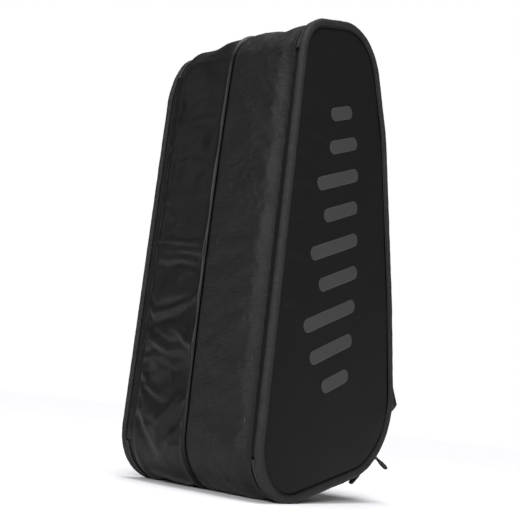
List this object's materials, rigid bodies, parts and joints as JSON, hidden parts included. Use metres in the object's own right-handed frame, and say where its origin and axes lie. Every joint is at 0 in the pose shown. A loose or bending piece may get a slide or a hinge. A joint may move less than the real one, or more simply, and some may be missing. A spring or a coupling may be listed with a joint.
{
  "type": "racket tournament bag",
  "caption": "Tall box-shaped racket tournament bag with two zipped compartments, door-like padded side panels, a carry handle and padded shoulder straps.",
  "frame": {"origin": "middle of the whole bag's box in X and Y, level with its lowest point", "axes": "+Z from the wide end up to the narrow end, -X out of the long flat base, +X out of the carrying side, -Y out of the near side panel"},
  "size_m": [0.382, 0.284, 0.7503],
  "materials": {
    "twill": "coarse matt polyester twill",
    "satin_nylon": "smooth satin nylon",
    "panel_fabric": "smooth satin polyester over foam",
    "welt_fabric": "satin nylon rolled over the edge",
    "hinge_fabric": "woven binding",
    "piping": "smooth piping",
    "zip_tape": "fine knitted tape",
    "zip_coil": "nylon coil",
    "slider_metal": "black nickel",
    "pull_cord": "braided cord",
    "pull_grip": "moulded matt grip",
    "divider_foam": "fabric-covered foam",
    "binding": "woven binding tape",
    "lining": "thin polyester lining",
    "thermal_foil": "aluminised film over thin foam",
    "base_board": "sheet polyethylene",
    "anchor_patch": "reinforced nylon",
    "webbing": "ribbed polyester webbing",
    "handle_grip": "padded sleeve",
    "strap_pad": "padded nylon and spacer mesh",
    "buckle": "moulded acetal"
  },
  "bodies": {
    "bag": {"near_gusset": "twill", "far_gusset": "satin_nylon", "divider_panel": "divider_foam", "divider_binding": "binding", "near_lining": "lining", "far_thermal_lining": "thermal_foil", "near_base_board": "base_board", "far_base_board": "base_board", "near_zip_tape_body": "zip_tape", "far_zip_tape_body": "zip_tape", "near_zip_coil_body": "zip_coil", "far_zip_coil_body": "zip_coil", "near_hinge_strip": "hinge_fabric", "far_hinge_strip": "hinge_fabric", "near_zip_end_tabs": "hinge_fabric", "far_zip_end_tabs": "hinge_fabric", "handle_anchor_patches": "anchor_patch", "near_strap_top_anchor": "anchor_patch", "far_strap_top_anchor": "anchor_patch", "near_strap_foot_tab": "anchor_patch", "far_strap_foot_tab": "anchor_patch"},
    "near_door": {"near_welt": "welt_fabric", "near_zip_coil_door": "zip_coil", "near_zip_tape_door": "zip_tape", "near_panel_lining": "lining", "near_side_panel": "panel_fabric", "near_piping": "piping"},
    "far_door": {"far_welt": "welt_fabric", "far_zip_coil_door": "zip_coil", "far_zip_tape_door": "zip_tape", "far_panel_lining": "lining", "far_side_panel": "panel_fabric", "far_piping": "piping"},
    "near_upper_slider": {"near_upper_slider": "slider_metal"},
    "near_upper_pull": {"near_upper_pull_cord": "pull_cord", "near_upper_pull_grip": "pull_grip"},
    "near_lower_slider": {"near_lower_slider": "slider_metal"},
    "near_lower_pull": {"near_lower_pull_cord": "pull_cord", "near_lower_pull_grip": "pull_grip"},
    "far_upper_slider": {"far_upper_slider": "slider_metal"},
    "far_upper_pull": {"far_upper_pull_cord": "pull_cord", "far_upper_pull_grip": "pull_grip"},
    "far_lower_slider": {"far_lower_slider": "slider_metal"},
    "far_lower_pull": {"far_lower_pull_cord": "pull_cord", "far_lower_pull_grip": "pull_grip"},
    "carry_handle": {"handle_webbing": "webbing", "handle_grip": "handle_grip"},
    "near_strap": {"near_strap_pad": "strap_pad", "near_strap_webbing": "webbing", "near_strap_buckle": "buckle"},
    "far_strap": {"far_strap_pad": "strap_pad", "far_strap_webbing": "webbing", "far_strap_buckle": "buckle"}
  },
  "joints": [
    {"name": "near_door_hinge", "type": "hinge", "parent": "bag", "child": "near_door", "pos_m": [-0.191, -0.1315, 0.35005], "axis": [0, 0, -1], "range_deg": [0, 110]},
    {"name": "far_door_hinge", "type": "hinge", "parent": "bag", "child": "far_door", "pos_m": [-0.191, 0.1315, 0.35005], "axis": [0, 0, 1], "range_deg": [0, 110]},
    {"name": "near_upper_slider_travel", "type": "hinge", "parent": "bag", "child": "near_upper_slider", "pos_m": [0.01541, -0.131, 0.16259], "axis": [0, -1, 0], "range_deg": [0, 48]},
    {"name": "near_upper_pull_swing", "type": "hinge", "parent": "near_upper_slider", "child": "near_upper_pull", "pos_m": [0.11458, -0.131, 0.07638], "axis": [0, -1, 0], "range_deg": [-88, 72]},
    {"name": "near_lower_slider_travel", "type": "hinge", "parent": "bag", "child": "near_lower_slider", "pos_m": [0.01541, -0.131, 0.16259], "axis": [0, -1, 0], "range_deg": [-19, 0]},
    {"name": "near_lower_pull_swing", "type": "hinge", "parent": "near_lower_slider", "child": "near_lower_pull", "pos_m": [0.09449, -0.131, 0.05765], "axis": [0, -1, 0], "range_deg": [0, 125]},
    {"name": "far_upper_slider_travel", "type": "hinge", "parent": "bag", "child": "far_upper_slider", "pos_m": [0.01541, 0.131, 0.16259], "axis": [0, -1, 0], "range_deg": [0, 48]},
    {"name": "far_upper_pull_swing", "type": "hinge", "parent": "far_upper_slider", "child": "far_upper_pull", "pos_m": [0.11458, 0.131, 0.07638], "axis": [0, -1, 0], "range_deg": [-88, 72]},
    {"name": "far_lower_slider_travel", "type": "hinge", "parent": "bag", "child": "far_lower_slider", "pos_m": [0.01541, 0.131, 0.16259], "axis": [0, -1, 0], "range_deg": [-19, 0]},
    {"name": "far_lower_pull_swing", "type": "hinge", "parent": "far_lower_slider", "child": "far_lower_pull", "pos_m": [0.09449, 0.131, 0.05765], "axis": [0, -1, 0], "range_deg": [0, 125]},
    {"name": "carry_handle_tilt", "type": "hinge", "parent": "bag", "child": "carry_handle", "pos_m": [0.13648, 0, 0.25005], "axis": [-0.2057, 0, 0.9786], "range_deg": [-35, 35]},
    {"name": "near_strap_swing", "type": "hinge", "parent": "bag", "child": "near_strap", "pos_m": [0.18984, -0.12, 0.16105], "axis": [-0.2737, 0.1721, 0.9463], "range_deg": [-18, 12]},
    {"name": "far_strap_swing", "type": "hinge", "parent": "bag", "child": "far_strap", "pos_m": [0.18984, 0.12, 0.16105], "axis": [0.2737, 0.1721, -0.9463], "range_deg": [-18, 12]}
  ]
}
